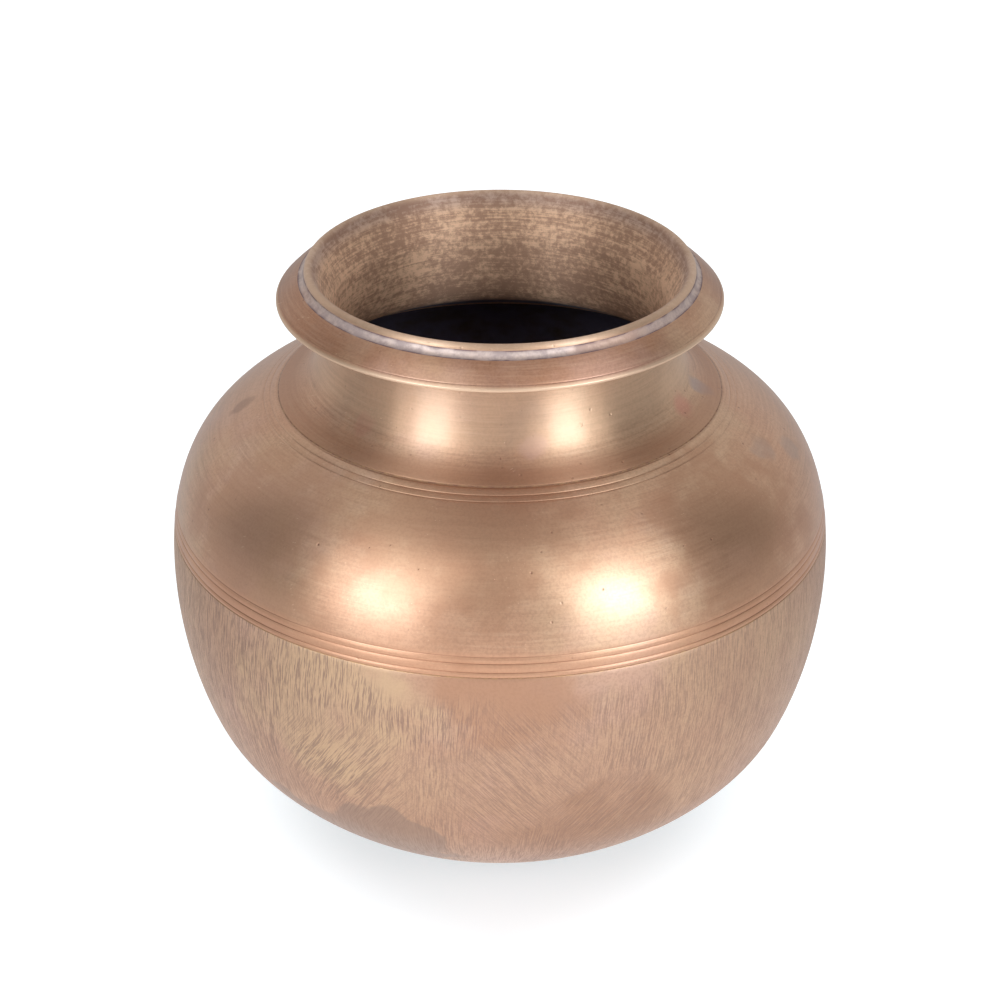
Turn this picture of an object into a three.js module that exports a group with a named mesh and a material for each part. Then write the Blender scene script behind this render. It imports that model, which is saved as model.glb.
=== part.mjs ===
// Lota: a round brass water pot, made of three shells joined by brazed lap joints,
// with a turned collar soldered round the lip.
//
// Millimetres, +Z up. The origin is the centre of the flat face that the pot stands on.

import * as THREE from 'three';

// ---- driving dimensions -------------------------------------------------------------------

const FACETS = 48; // flats round every turned piece

const BELLY_R = 84; // widest radius of the body
const BELLY_Z = 76; // height of the widest point
const BASE_R = 28; // radius of the flat resting face
const WALL = 2.3; // thickness of every shell

const NECK_FOOT_R = 55.9; // where the neck stands on the shoulder
const NECK_FOOT_Z = 121.7;
const SHOULDER_SLOPE = 30; // degrees below level, where the shoulder leaves the neck
const NECK_FOOT_SLOPE = 24; // degrees above level, where the neck starts
const THROAT_R = 46.3; // where the throat has turned nearly upright
const THROAT_Z = 129.2;
const THROAT_SLOPE = 66; // degrees above level, there
const WAIST_R = 43.7; // narrowest outer radius of the neck
const WAIST_Z = 142.8;
const CONE_R = 44.3; // the neck is a plain cone from here up to the lip
const CONE_Z = 144.9;
const LIP_R = 48.4; // outer radius where the lip starts to round over
const LIP_EDGE_Z = 153.5;
const LIP_TOP_Z = 154.7;

const SLEEVE = 0.3; // solder between the neck's cone and the collar's bore
const COLLAR_BOTTOM_Z = 145.1;
const COLLAR_TOP_R = 49.9;
const COLLAR_TOP_Z = 151.7;
const COLLAR_EDGE_R = 55.4;
const COLLAR_EDGE_Z = 146.5;
const COLLAR_EDGE_HALF = 0.45; // half the height of the collar's outer edge
const SOLDER_SEAT_Z = 150.2; // bottom of the bevel that the solder flares into

const SEAM_Z = 86.1; // the belly seam
const LAP = 8; // length of each lap joint, along the wall
const SKIRT = 1.0; // outer half of a lap joint
const FILM = 0.3; // braze between the halves

const SCORE_WIDTH = 0.8; // incised decoration lines
const SCORE_DEPTH = 0.3;
const BELLY_SCORES_Z = [91.3, 89.6, 87.4];
const NECK_SCORES_R = [57.9, 59.5];

// ---- the body's outside, as three smooth curves from the neck's foot to the base -------------

const degrees = THREE.MathUtils.degToRad;
const at = (r, z) => new THREE.Vector2(r, z);

// A smooth curve from one point to another. Each end leaves in a given direction, in degrees
// above level, and a longer pull keeps that direction further.
function sweep(from, fromAngle, fromPull, to, toAngle, toPull) {
  const start = at(Math.cos(degrees(fromAngle)), Math.sin(degrees(fromAngle)));
  const end = at(Math.cos(degrees(toAngle)), Math.sin(degrees(toAngle)));
  const handleA = from.clone().addScaledVector(start, fromPull);
  const handleB = to.clone().addScaledVector(end, toPull);
  return new THREE.CubicBezierCurve(from, handleA, handleB, to);
}

const NECK_FOOT = at(NECK_FOOT_R, NECK_FOOT_Z);
const BELLY = at(BELLY_R, BELLY_Z);
const HEEL = at(75.2, 34.4);
const HEEL_SLOPE = 62.4;

const shoulderCurve = sweep(NECK_FOOT, -SHOULDER_SLOPE, 13.7, BELLY, 90, 33.6);
const flankCurve = sweep(BELLY, -90, 22.6, HEEL, HEEL_SLOPE, 3.2);
const heelCurve = sweep(HEEL, HEEL_SLOPE - 180, 21, at(BASE_R, 0), 0, 5);

// ---- the neck's outside, from its foot up to the straight lip --------------------------------

const NECK_START = NECK_FOOT.clone().add(
  at(-FILM * Math.cos(degrees(SHOULDER_SLOPE)), FILM * Math.sin(degrees(SHOULDER_SLOPE))),
);
const THROAT = at(THROAT_R, THROAT_Z);
const WAIST = at(WAIST_R, WAIST_Z);
const throatCurve = sweep(NECK_START, 180 - NECK_FOOT_SLOPE, 7, THROAT, -THROAT_SLOPE, 3.5);
const waistCurve = sweep(THROAT, 180 - THROAT_SLOPE, 6.5, WAIST, -90, 4);
const coneTaper = (LIP_R - CONE_R) / (LIP_EDGE_Z - CONE_Z);
const coneTilt = THREE.MathUtils.radToDeg(Math.atan(coneTaper));
const coneAt = (z) => CONE_R + (z - CONE_Z) * coneTaper;
const flareCurve = sweep(WAIST, 90, 0.8, at(CONE_R, CONE_Z), -90 - coneTilt, 0.8);

// ---- walls ------------------------------------------------------------------------------------

// The point at parameter t of a curve, moved into the metal by a depth. The metal is on the
// right of a body curve, where side is 1, and on the left of a neck curve, where side is -1.
function wallPoint(curve, t, depth, side = 1) {
  const point = curve.getPoint(t);
  const along = curve.getTangent(t);
  const inward = at(along.y, -along.x).multiplyScalar(side);
  return point.addScaledVector(inward, depth);
}

function wallLine(curve, tFrom, tTo, depth, steps, side = 1) {
  const line = [];
  for (let i = 0; i <= steps; i += 1) {
    line.push(wallPoint(curve, tFrom + ((tTo - tFrom) * i) / steps, depth, side));
  }
  return line;
}

// The parameter where a curve passes a value of its radius ('x') or height ('y').
function crossing(curve, key, value) {
  const rises = curve.getPoint(1)[key] > curve.getPoint(0)[key];
  let low = 0;
  let high = 1;
  for (let i = 0; i < 50; i += 1) {
    const middle = (low + high) / 2;
    if (curve.getPoint(middle)[key] < value === rises) low = middle;
    else high = middle;
  }
  return low;
}

const reversed = (line) => [...line].reverse();

// A V cut of the decoration, from one edge to the other along the shoulder.
function score(t) {
  const reach = (SCORE_WIDTH * 0.6) / shoulderCurve.getLength();
  return [
    wallPoint(shoulderCurve, t - reach, 0),
    wallPoint(shoulderCurve, t, SCORE_DEPTH),
    wallPoint(shoulderCurve, t + reach, 0),
  ];
}

// ---- lap joints -------------------------------------------------------------------------------

// Belly joint. The bowl's thin tongue stands inside the shoulder's skirt.
const seamLow = crossing(shoulderCurve, 'y', SEAM_Z - FILM / 2);
const seamHigh = crossing(shoulderCurve, 'y', SEAM_Z + FILM / 2);
const tongueTip = crossing(shoulderCurve, 'y', SEAM_Z + LAP);
const skirtRoot = crossing(shoulderCurve, 'y', SEAM_Z + LAP + FILM);
const bellyTongueFace = wallLine(shoulderCurve, seamLow, tongueTip, SKIRT + FILM, 2);
const bellySkirtFace = wallLine(shoulderCurve, seamHigh, skirtRoot, SKIRT, 2);

// Neck joint. The neck's tongue spreads out under the shoulder's top edge.
const neckTip = crossing(shoulderCurve, 'x', NECK_FOOT_R + LAP);
const neckRoot = crossing(shoulderCurve, 'x', NECK_FOOT_R + LAP + FILM);
const neckTongueFace = wallLine(shoulderCurve, 0, neckTip, SKIRT + FILM, 2);
const neckSkirtFace = wallLine(shoulderCurve, 0, neckRoot, SKIRT, 2);
const neckShelf = NECK_START.clone().add(
  wallPoint(shoulderCurve, 0, SKIRT + FILM).sub(NECK_FOOT),
);

// ---- pieces, each a closed section turned about the pot's axis ---------------------------------

function lowerBowl() {
  return [
    at(0, 0),
    ...reversed(wallLine(heelCurve, 0, 1, 0, 8)),
    ...reversed(wallLine(flankCurve, 0, 1, 0, 6)).slice(1),
    wallPoint(shoulderCurve, seamLow, 0),
    ...bellyTongueFace,
    wallPoint(shoulderCurve, tongueTip, WALL),
    wallPoint(shoulderCurve, seamHigh, WALL),
    ...wallLine(flankCurve, 0, 1, WALL, 6),
    ...wallLine(heelCurve, 0, 1, WALL, 8).slice(1),
    at(0, WALL),
  ];
}

function shoulderShell() {
  const scores = [
    ...BELLY_SCORES_Z.map((z) => crossing(shoulderCurve, 'y', z)),
    ...NECK_SCORES_R.map((r) => crossing(shoulderCurve, 'x', r)),
  ].sort((a, b) => b - a);
  const firstPlain = scores[BELLY_SCORES_Z.length - 1];
  const lastPlain = scores[BELLY_SCORES_Z.length];
  return [
    wallPoint(shoulderCurve, seamHigh, 0),
    ...scores.slice(0, BELLY_SCORES_Z.length).flatMap((t) => reversed(score(t))),
    ...wallLine(shoulderCurve, firstPlain, lastPlain, 0, 9).slice(1, -1),
    ...scores.slice(BELLY_SCORES_Z.length).flatMap((t) => reversed(score(t))),
    wallPoint(shoulderCurve, 0, 0),
    ...neckSkirtFace,
    wallPoint(shoulderCurve, neckRoot, WALL),
    ...wallLine(shoulderCurve, neckRoot, skirtRoot, WALL, 6).slice(1),
    ...reversed(bellySkirtFace),
  ];
}

function neck() {
  return [
    NECK_START,
    ...wallLine(throatCurve, 0, 1, 0, 5, -1).slice(1),
    ...wallLine(waistCurve, 0, 1, 0, 4, -1).slice(1),
    ...wallLine(flareCurve, 0, 1, 0, 2, -1).slice(1),
    at(LIP_R, LIP_EDGE_Z),
    at(LIP_R - 0.25, LIP_TOP_Z - 0.35),
    at(LIP_R - WALL / 2, LIP_TOP_Z),
    at(LIP_R - WALL + 0.25, LIP_TOP_Z - 0.35),
    at(LIP_R - WALL, LIP_EDGE_Z),
    ...reversed(wallLine(flareCurve, 0, 1, WALL, 2, -1)),
    ...reversed(wallLine(waistCurve, 0, 1, WALL, 4, -1)).slice(1),
    ...reversed(wallLine(throatCurve, 0, 1, WALL, 5, -1)).slice(1),
    ...wallLine(shoulderCurve, 0, neckTip, WALL, 2),
    ...reversed(neckTongueFace),
    neckShelf,
  ];
}

function rimCollar() {
  const top = new THREE.QuadraticBezierCurve(
    at(COLLAR_TOP_R, COLLAR_TOP_Z),
    at(53.2, 149.9),
    at(COLLAR_EDGE_R - 0.3, COLLAR_EDGE_Z + COLLAR_EDGE_HALF + 0.15),
  );
  const underside = new THREE.QuadraticBezierCurve(
    at(COLLAR_EDGE_R - 0.3, COLLAR_EDGE_Z - COLLAR_EDGE_HALF - 0.15),
    at(50.5, 145),
    at(coneAt(COLLAR_BOTTOM_Z) + SLEEVE, COLLAR_BOTTOM_Z),
  );
  return [
    at(coneAt(SOLDER_SEAT_Z) + SLEEVE, SOLDER_SEAT_Z),
    ...top.getPoints(4),
    at(COLLAR_EDGE_R, COLLAR_EDGE_Z + COLLAR_EDGE_HALF - 0.15),
    at(COLLAR_EDGE_R, COLLAR_EDGE_Z - COLLAR_EDGE_HALF + 0.15),
    ...underside.getPoints(4),
  ];
}

// The solder fills the bore's gap and the bevel above it, and ends in the visible band.
function rimSolder() {
  const band = new THREE.QuadraticBezierCurve(
    at(LIP_R, LIP_EDGE_Z),
    at(48.9, 152.4),
    at(COLLAR_TOP_R, COLLAR_TOP_Z),
  );
  return [
    at(coneAt(COLLAR_BOTTOM_Z), COLLAR_BOTTOM_Z),
    ...band.getPoints(3),
    at(coneAt(SOLDER_SEAT_Z) + SLEEVE, SOLDER_SEAT_Z),
    at(coneAt(COLLAR_BOTTOM_Z) + SLEEVE, COLLAR_BOTTOM_Z),
  ];
}

// Both brazes have a Z section: a hairline outside, the film, and a hairline inside.
function bellyBraze() {
  return [
    wallPoint(shoulderCurve, seamLow, 0),
    wallPoint(shoulderCurve, seamHigh, 0),
    ...bellySkirtFace,
    wallPoint(shoulderCurve, skirtRoot, WALL),
    wallPoint(shoulderCurve, tongueTip, WALL),
    ...reversed(bellyTongueFace),
  ];
}

function neckBraze() {
  return [
    NECK_START,
    neckShelf,
    ...neckTongueFace,
    wallPoint(shoulderCurve, neckTip, WALL),
    wallPoint(shoulderCurve, neckRoot, WALL),
    ...reversed(neckSkirtFace),
    wallPoint(shoulderCurve, 0, 0),
  ];
}

// ---- scene graph --------------------------------------------------------------------------------

// Turns a section into a closed solid. The section is put in counter-clockwise order, and a
// section that does not end on the axis is closed on itself.
function turned(section) {
  const area = section.reduce((sum, point, i) => {
    const next = section[(i + 1) % section.length];
    return sum + point.x * next.y - next.x * point.y;
  }, 0);
  const profile = area > 0 ? [...section] : reversed(section);
  const first = profile[0];
  if (first.x > 0) profile.push(first.clone());
  const geometry = new THREE.LatheGeometry(profile, FACETS);
  geometry.rotateX(Math.PI / 2);
  return geometry;
}

function piece(name, section, color, roughness, metalness) {
  const material = new THREE.MeshStandardMaterial({ color, roughness, metalness });
  const mesh = new THREE.Mesh(turned(section), material);
  mesh.name = name;
  return mesh;
}

const lota = new THREE.Group();
lota.add(
  piece('lower_bowl', lowerBowl(), 0x9f7a58, 0.46, 1),
  piece('shoulder_shell', shoulderShell(), 0xb08a64, 0.36, 1),
  piece('neck', neck(), 0xb48e68, 0.36, 1),
  piece('rim_collar', rimCollar(), 0xa67c5e, 0.4, 1),
  piece('rim_solder', rimSolder(), 0xb8a8a0, 0.5, 1),
  piece('belly_braze', bellyBraze(), 0xc08a4e, 0.42, 1),
  piece('neck_braze', neckBraze(), 0xc08a4e, 0.42, 1),
);

export default lota;
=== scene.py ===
# %% [markdown]
# # A brass lota, piece by piece
#
# A lota is a round water pot. This one is built the way its maker builds it: a filed lower
# bowl, a turned shoulder, a turned neck, and a collar soldered on under the lip. Two brazed
# seams hold the shells together. The design frame is loaded first, and every piece that is
# modelled here stands in for one of its plain solids, in the same place and at the same size.

# %% Load the frame
import math
from collections import namedtuple

import bpy
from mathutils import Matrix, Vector
from mathutils.kdtree import KDTree


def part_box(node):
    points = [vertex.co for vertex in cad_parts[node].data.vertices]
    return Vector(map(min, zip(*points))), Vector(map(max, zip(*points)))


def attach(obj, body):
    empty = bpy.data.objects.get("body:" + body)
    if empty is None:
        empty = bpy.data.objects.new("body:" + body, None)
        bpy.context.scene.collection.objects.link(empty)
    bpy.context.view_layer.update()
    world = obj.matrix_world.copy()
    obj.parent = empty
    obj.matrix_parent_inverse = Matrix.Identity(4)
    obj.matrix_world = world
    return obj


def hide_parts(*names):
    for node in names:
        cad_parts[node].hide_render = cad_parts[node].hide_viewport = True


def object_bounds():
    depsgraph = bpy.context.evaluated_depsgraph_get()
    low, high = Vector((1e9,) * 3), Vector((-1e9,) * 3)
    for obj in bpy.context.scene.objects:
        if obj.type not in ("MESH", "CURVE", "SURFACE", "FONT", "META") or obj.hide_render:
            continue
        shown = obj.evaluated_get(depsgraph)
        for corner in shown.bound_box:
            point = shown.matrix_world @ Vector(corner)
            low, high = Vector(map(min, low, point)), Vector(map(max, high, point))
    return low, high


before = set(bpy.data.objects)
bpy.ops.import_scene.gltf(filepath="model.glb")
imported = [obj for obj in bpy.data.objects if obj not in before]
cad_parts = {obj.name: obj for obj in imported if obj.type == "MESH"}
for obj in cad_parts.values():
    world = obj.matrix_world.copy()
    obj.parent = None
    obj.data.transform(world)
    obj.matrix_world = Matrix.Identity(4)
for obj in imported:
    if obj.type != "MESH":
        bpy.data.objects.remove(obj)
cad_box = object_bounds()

print("solids in the frame:", sorted(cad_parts))

# %% [markdown]
# ## The camera
#
# A long lens looks down on the pot at a bit under thirty degrees, which shows the mouth as a
# wide ellipse and keeps the belly's outline nearly true. The aim point is on the pot's axis,
# so the pot stands in the middle of the picture.

# %% Set up the camera
MM = 0.001
lowest, highest = cad_box
AIM_HEIGHT = 0.5705 * highest.z
VIEW_DISTANCE = 0.7345
VIEW_PITCH = math.radians(28.317)
LENS = 102.76


def make_camera():
    data = bpy.data.cameras.new("camera")
    data.lens = LENS
    data.sensor_width = 36.0
    camera = bpy.data.objects.new("camera", data)
    bpy.context.scene.collection.objects.link(camera)
    aim = Vector((0.0, 0.0, AIM_HEIGHT))
    back = Vector((0.0, -math.cos(VIEW_PITCH), math.sin(VIEW_PITCH)))
    camera.location = aim + back * VIEW_DISTANCE
    camera.rotation_mode = "QUATERNION"
    camera.rotation_quaternion = (-back).to_track_quat("-Z", "Y")
    bpy.context.scene.camera = camera
    return camera


camera = make_camera()
print("camera at", [round(c, 3) for c in camera.location])

# %% [markdown]
# ## Sections and smooth curves
#
# Every piece of the pot was made by turning, so each is one section swept round the axis. A
# section could be drawn freehand, but a curve with a known start, end and direction at each
# end is easier to keep true: it is one cubic Bezier, walked in short even steps.
#
# A `Spot` is one corner of a section: its radius and height, how far along the wall it lies,
# whether it is inside the pot, how much wear and painted highlight, dirt and painted shade it
# has.

# %% Curves
Spot = namedtuple("Spot", "r z run inside worn grime", defaults=(0.0, 0.0, 0.0, 0.0))


def direction(degrees):
    return Vector((math.cos(math.radians(degrees)), math.sin(math.radians(degrees))))


def sweep(a, a_angle, a_pull, b, b_angle, b_pull, steps=400):
    """Points of a smooth curve from a to b, which leaves each end in the angle given there."""
    handle_a = a + direction(a_angle) * a_pull
    handle_b = b + direction(b_angle) * b_pull
    points = []
    for i in range(steps + 1):
        t = i / steps
        near, far = (1 - t), t
        points.append(
            a * near**3 + handle_a * 3 * near**2 * far + handle_b * 3 * near * far**2 + b * far**3
        )
    return points


class Outline:
    """A run of points along the outside of a wall, with the metal on its right or left."""

    def __init__(self, points, metal_side):
        self.points = points
        self.side = metal_side
        self.runs = [0.0]
        for here, there in zip(points, points[1:]):
            self.runs.append(self.runs[-1] + (there - here).length)
        self.length = self.runs[-1]

    def place(self, run, depth=0.0):
        """The point a distance along the outline, moved into the metal by a depth."""
        i = next((k for k, r in enumerate(self.runs) if r > run), len(self.runs) - 1)
        here, there = self.points[i - 1], self.points[i]
        share = (run - self.runs[i - 1]) / (self.runs[i] - self.runs[i - 1])
        along = (there - here).normalized()
        inward = Vector((along.y, -along.x)) * self.side
        return here.lerp(there, share) + inward * depth

    def crossing(self, axis, value):
        """How far along the outline its radius (axis 0) or height (axis 1) passes a value."""
        for i in range(1, len(self.points)):
            a, b = self.points[i - 1][axis], self.points[i][axis]
            if (a - value) * (b - value) <= 0 and a != b:
                step = self.runs[i] - self.runs[i - 1]
                return self.runs[i - 1] + step * (value - a) / (b - a)
        raise ValueError(f"the outline never passes {value}")


print("a quarter of a 10 mm circle, by curve:",
      round(Outline(sweep(Vector((10, 0)), 90, 5.52, Vector((0, 10)), 0, 5.52), 1).length, 3))

# %% [markdown]
# ## The pot's shape
#
# The widest radius, the height of the neck's joint and the top of the lip are read from the
# frame.
# Below the neck the outside is three curves: the shoulder, the flank, and the heel that runs
# in to the small flat base. The neck is a concave throat that narrows all the way up to its
# waist, and a cone above the waist that opens out to the lip.

# %% Main sizes
BELLY = Vector((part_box("lower_bowl")[1].x, 76 * MM))
NECK_FOOT = Vector((55.9 * MM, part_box("shoulder_shell")[1].z))
HEEL = Vector((75.2 * MM, 34.4 * MM))
BASE = Vector((28 * MM, lowest.z))
THROAT = Vector((46.3 * MM, 129.2 * MM))
WAIST = Vector((43.7 * MM, 142.8 * MM))
CONE_FOOT = Vector((44.3 * MM, 144.9 * MM))
LIP_EDGE = Vector((48.4 * MM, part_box("rim_solder")[1].z))
LIP_TOP_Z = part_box("neck")[1].z
WALL = 2.3 * MM
SKIRT = 1.0 * MM
FILM = 0.3 * MM
LAP = 8 * MM
SEAM_Z = 86.1 * MM

body = Outline(
    sweep(NECK_FOOT, -30, 13.7 * MM, BELLY, 90, 33.6 * MM)
    + sweep(BELLY, -90, 22.6 * MM, HEEL, 62.4, 3.2 * MM)[1:]
    + sweep(HEEL, 62.4 - 180, 21 * MM, BASE, 0, 5 * MM)[1:],
    metal_side=1,
)
NECK_START = NECK_FOOT + direction(150) * FILM
cone_way = CONE_FOOT - LIP_EDGE
cone_angle = math.degrees(math.atan2(cone_way.y, cone_way.x))
throat = Outline(
    sweep(NECK_START, 156, 7 * MM, THROAT, -66, 3.5 * MM)
    + sweep(THROAT, 114, 6.5 * MM, WAIST, -90, 4 * MM)[1:]
    + sweep(WAIST, 90, 0.8 * MM, CONE_FOOT, cone_angle, 0.8 * MM)[1:]
    + [CONE_FOOT.lerp(LIP_EDGE, i / 40) for i in range(1, 41)],
    metal_side=-1,
)
seam_run = body.crossing(1, SEAM_Z)
print(f"wall from the neck's foot to the base: {body.length / MM:.1f} mm,",
      f"seam after {seam_run / MM:.1f} mm")

# %% [markdown]
# ## Scored lines
#
# The lines round the belly and the neck's foot are cut with a pointed tool while the piece
# turns. Painted lines would stay flat when the light moves, so they are cut into the section:
# wherever the wall passes a line, its corners crowd together and dip by the tool's depth. The
# belly's lines stand in pairs, and the strip between a pair is left a hair's width
# proud, which is a cut of less than nothing here. A cut also says how dirty it has become.

# %% Scored lines
Score = namedtuple("Score", "run width depth dirt")
FINE_CUT = 0.12 * MM
BEAD = -0.07 * MM
neck_line = Score(0.05 * MM, 1.1 * MM, 0.13 * MM, 0.35)
body_scores = [
    neck_line,
    Score(body.crossing(0, 57.9 * MM), 0.45 * MM, 0.07 * MM, 0.2),
    Score(body.crossing(0, 59.5 * MM), 0.4 * MM, 0.06 * MM, 0.2),
    Score(body.crossing(1, 91.3 * MM), 0.4 * MM, 0.07 * MM, 0.6),
    Score(body.crossing(1, 90.45 * MM), 1.5 * MM, BEAD, 0),
    Score(body.crossing(1, 89.6 * MM), 0.36 * MM, FINE_CUT, 0.9),
    Score(body.crossing(1, 87.4 * MM), 0.36 * MM, FINE_CUT, 0.9),
    Score(body.crossing(1, 86.8 * MM), 0.9 * MM, BEAD, 0),
    Score(seam_run, 0.46 * MM, FINE_CUT, 0.9),
]
throat_scores = [neck_line._replace(run=-0.25 * MM)]


def tool_at(run, scores):
    """How deep the tool has gone at this distance along the wall, and the dirt left there."""
    depth, dirt = 0.0, 0.0
    for score in scores:
        away = abs(run - score.run) / (score.width / 2)
        if away < 1:
            share = 0.5 * (1 + math.cos(math.pi * away))
            depth += score.depth * share
            dirt = max(dirt, score.dirt * share)
    return depth, dirt


def stations(start, end, spacing, scores=()):
    """Even steps along a wall, with close steps through every scored line."""
    count = max(1, round(abs(end - start) / spacing))
    runs = {start + (end - start) * i / count for i in range(count + 1)}
    for score in scores:
        for i in range(-4, 5):
            run = score.run + score.width / 2 * i / 4
            if min(start, end) < run < max(start, end):
                runs.add(run)
    tidy = []
    for run in sorted(runs):
        if not tidy or run - tidy[-1] > 0.04 * MM:
            tidy.append(run)
    tidy[-1] = max(start, end)
    return tidy if start <= end else tidy[::-1]


def outer_face(outline, start, end, scores, spacing=1.2 * MM):
    """The seen side of a wall, with its scored lines cut in."""
    spots = []
    for run in stations(start, end, spacing, scores):
        depth, dirt = tool_at(run, scores)
        point = outline.place(run, depth)
        spots.append(Spot(point.x, point.y, run, 0.0, 0.0, dirt))
    return spots


def hidden_face(outline, start, end, depth, spacing=2.0 * MM):
    """A face at a set depth in the wall: the pot's inside, or one side of a lap joint."""
    spots = []
    for run in stations(start, end, spacing):
        point = outline.place(run, depth)
        spots.append(Spot(point.x, point.y, run, 1.0))
    return spots


cut_lines = [score for score in body_scores if score.depth > 0]
print(len(cut_lines), "scored lines on the body, the finest",
      round(min(score.width for score in cut_lines) / MM, 2), "mm wide")

# %% [markdown]
# ## From a section to a solid
#
# The steps are those of modelling by hand. A small plane is merged to one corner, the corner
# is moved to where the section starts, and it is extruded from spot to spot. The finished
# section is spun once round the axis. The double corners that the spin leaves, on its seam
# and on the axis, are merged, and then the normals are turned outwards.
#
# Each corner also keeps what its `Spot` says, as named attributes of the mesh. The finishes
# read them later, so that dirt lies in the grooves, painted shade and painted light fall under
# and along the collar's edge, and rings follow the wall.

# %% Turn a section
TURNS = 180


def deselect_all():
    if bpy.context.mode != "OBJECT":
        bpy.ops.object.mode_set(mode="OBJECT")
    bpy.ops.object.select_all(action="DESELECT")


def trace_section(spots):
    """Extrudes one corner along the section, in edit mode."""
    bpy.ops.mesh.select_all(action="SELECT")
    bpy.ops.mesh.merge(type="CENTER")
    bpy.ops.transform.translate(value=(spots[0].r, 0, spots[0].z))
    for here, there in zip(spots, spots[1:]):
        step = (there.r - here.r, 0, there.z - here.z)
        bpy.ops.mesh.extrude_region_move(TRANSFORM_OT_translate={"value": step})


def note_on_corners(piece, spots):
    """Stores on every corner of the mesh what the nearest spot of the section says."""
    tree = KDTree(len(spots))
    for i, spot in enumerate(spots):
        tree.insert((spot.r, spot.z, 0), i)
    tree.balance()
    nearest = []
    for vertex in piece.data.vertices:
        radius = math.hypot(vertex.co.x, vertex.co.y)
        nearest.append(spots[tree.find((radius, vertex.co.z, 0))[1]])
    # The last two fields also carry the collar's painted highlight and painted shade.
    for field in ("run", "inside", "worn", "grime"):
        layer = piece.data.attributes.new(field, "FLOAT", "POINT")
        layer.data.foreach_set("value", [getattr(spot, field) for spot in nearest])


def turned_piece(name, node, spots, turns=TURNS):
    """One closed solid, made by spinning a section about the pot's axis, in place of a node."""
    on_axis = spots[0].r == 0
    loop = spots if on_axis else [*spots, spots[0]]
    deselect_all()
    bpy.ops.mesh.primitive_plane_add(size=1 * MM)
    piece = bpy.context.active_object
    piece.name = piece.data.name = name
    bpy.ops.object.mode_set(mode="EDIT")
    trace_section(loop)
    bpy.ops.mesh.select_all(action="SELECT")
    bpy.ops.mesh.remove_doubles(threshold=1e-6)
    bpy.ops.mesh.select_all(action="SELECT")
    bpy.ops.mesh.spin(steps=turns, angle=2 * math.pi, center=(0, 0, 0), axis=(0, 0, 1))
    bpy.ops.mesh.select_all(action="SELECT")
    bpy.ops.mesh.remove_doubles(threshold=2e-6)
    bpy.ops.mesh.normals_make_consistent(inside=False)
    bpy.ops.object.mode_set(mode="OBJECT")
    note_on_corners(piece, spots)
    bpy.ops.object.shade_smooth_by_angle(angle=math.radians(42))
    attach(piece, "root")
    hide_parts(node)
    print(name, len(piece.data.polygons), "faces,",
          [round(d / MM, 2) for d in piece.dimensions], "mm")
    return piece


# %% [markdown]
# ## Lap joints
#
# Sheet metal that only meets edge to edge makes a weak joint, so each edge is thinned to half
# for eight millimetres and the halves overlap. The braze that joins them is a thin film with
# a step at each end. The three neighbours share these faces exactly, so they touch without
# cutting into each other.

# %% Joint faces
HALF_FILM = FILM / 2
seam_above = seam_run - HALF_FILM
seam_below = seam_run + HALF_FILM
tongue_tip = body.crossing(1, SEAM_Z + LAP)
skirt_root = body.crossing(1, SEAM_Z + LAP + FILM)
belly_tongue = hidden_face(body, seam_below, tongue_tip, SKIRT + FILM)
belly_skirt = hidden_face(body, seam_above, skirt_root, SKIRT)

neck_tip = body.crossing(0, NECK_FOOT.x + LAP)
neck_root = body.crossing(0, NECK_FOOT.x + LAP + FILM)
neck_tongue = hidden_face(body, 0, neck_tip, SKIRT + FILM)
neck_skirt = hidden_face(body, 0, neck_root, SKIRT)
into_shelf = body.place(0, SKIRT + FILM) - NECK_FOOT
neck_shelf = Spot(*(NECK_START + into_shelf), 0.0, 1.0)


def wall_spot(outline, run, depth):
    point = outline.place(run, depth)
    return Spot(point.x, point.y, run, 1.0)


print(f"belly lap {(seam_run - tongue_tip) / MM:.1f} mm, neck lap {neck_tip / MM:.1f} mm")

# %% [markdown]
# ## Lower bowl
#
# The bowl is beaten up from sheet and filed, from the resting flat to the belly seam. Its
# section starts and ends on the axis, goes up the outside, over the tongue, and back down the
# inside at the wall's thickness.

# %% Lower bowl
bowl_outside = outer_face(body, body.length, seam_below, body_scores)
filed_bowl = turned_piece("filed_bowl", "lower_bowl", [
    Spot(0.0, lowest.z, body.length + BASE.x),
    Spot(BASE.x / 2, lowest.z, body.length + BASE.x / 2),
    *bowl_outside,
    *belly_tongue,
    wall_spot(body, tongue_tip, WALL),
    *hidden_face(body, seam_above, body.length, WALL, 2.5 * MM),
    Spot(0.0, lowest.z + WALL, body.length + BASE.x, 1.0),
])

# %% [markdown]
# ## Shoulder shell
#
# The shoulder is turned on a lathe, and carries nearly all the scored lines. It reaches from
# the belly seam to the neck's foot.

# %% Shoulder shell
turned_shoulder = turned_piece("turned_shoulder", "shoulder_shell", [
    *outer_face(body, seam_above, 0, body_scores),
    *neck_skirt,
    *hidden_face(body, neck_root, skirt_root, WALL, 2.5 * MM),
    *belly_skirt[::-1],
])

# %% [markdown]
# ## Neck and lip
#
# The neck is one turned piece from its tongue under the shoulder up to the lip. The lip is a
# plain rounded edge. Its crown is a half ellipse, worked out as an arc, and it is marked as
# worn, because hands and dippers keep it bright.

# %% Neck
LIP_CORNERS = 8
FLARE_STEPS = 9
LIP_INSIDE = LIP_EDGE - Vector((WALL, 0))


def lip_crown():
    """The rounded top of the lip, from its outer to its inner edge."""
    outer, inner = LIP_EDGE, LIP_INSIDE
    middle, half = (outer + inner) / 2, (outer - inner) / 2
    crown = []
    for i in range(1, LIP_CORNERS):
        turn = math.pi * i / LIP_CORNERS
        side = middle + half * math.cos(turn)
        lift = (LIP_TOP_Z - middle.y) * math.sin(turn)
        inside = i / LIP_CORNERS
        crown.append(Spot(side.x, middle.y + lift, throat.length, inside, math.sin(turn)))
    return crown


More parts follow.
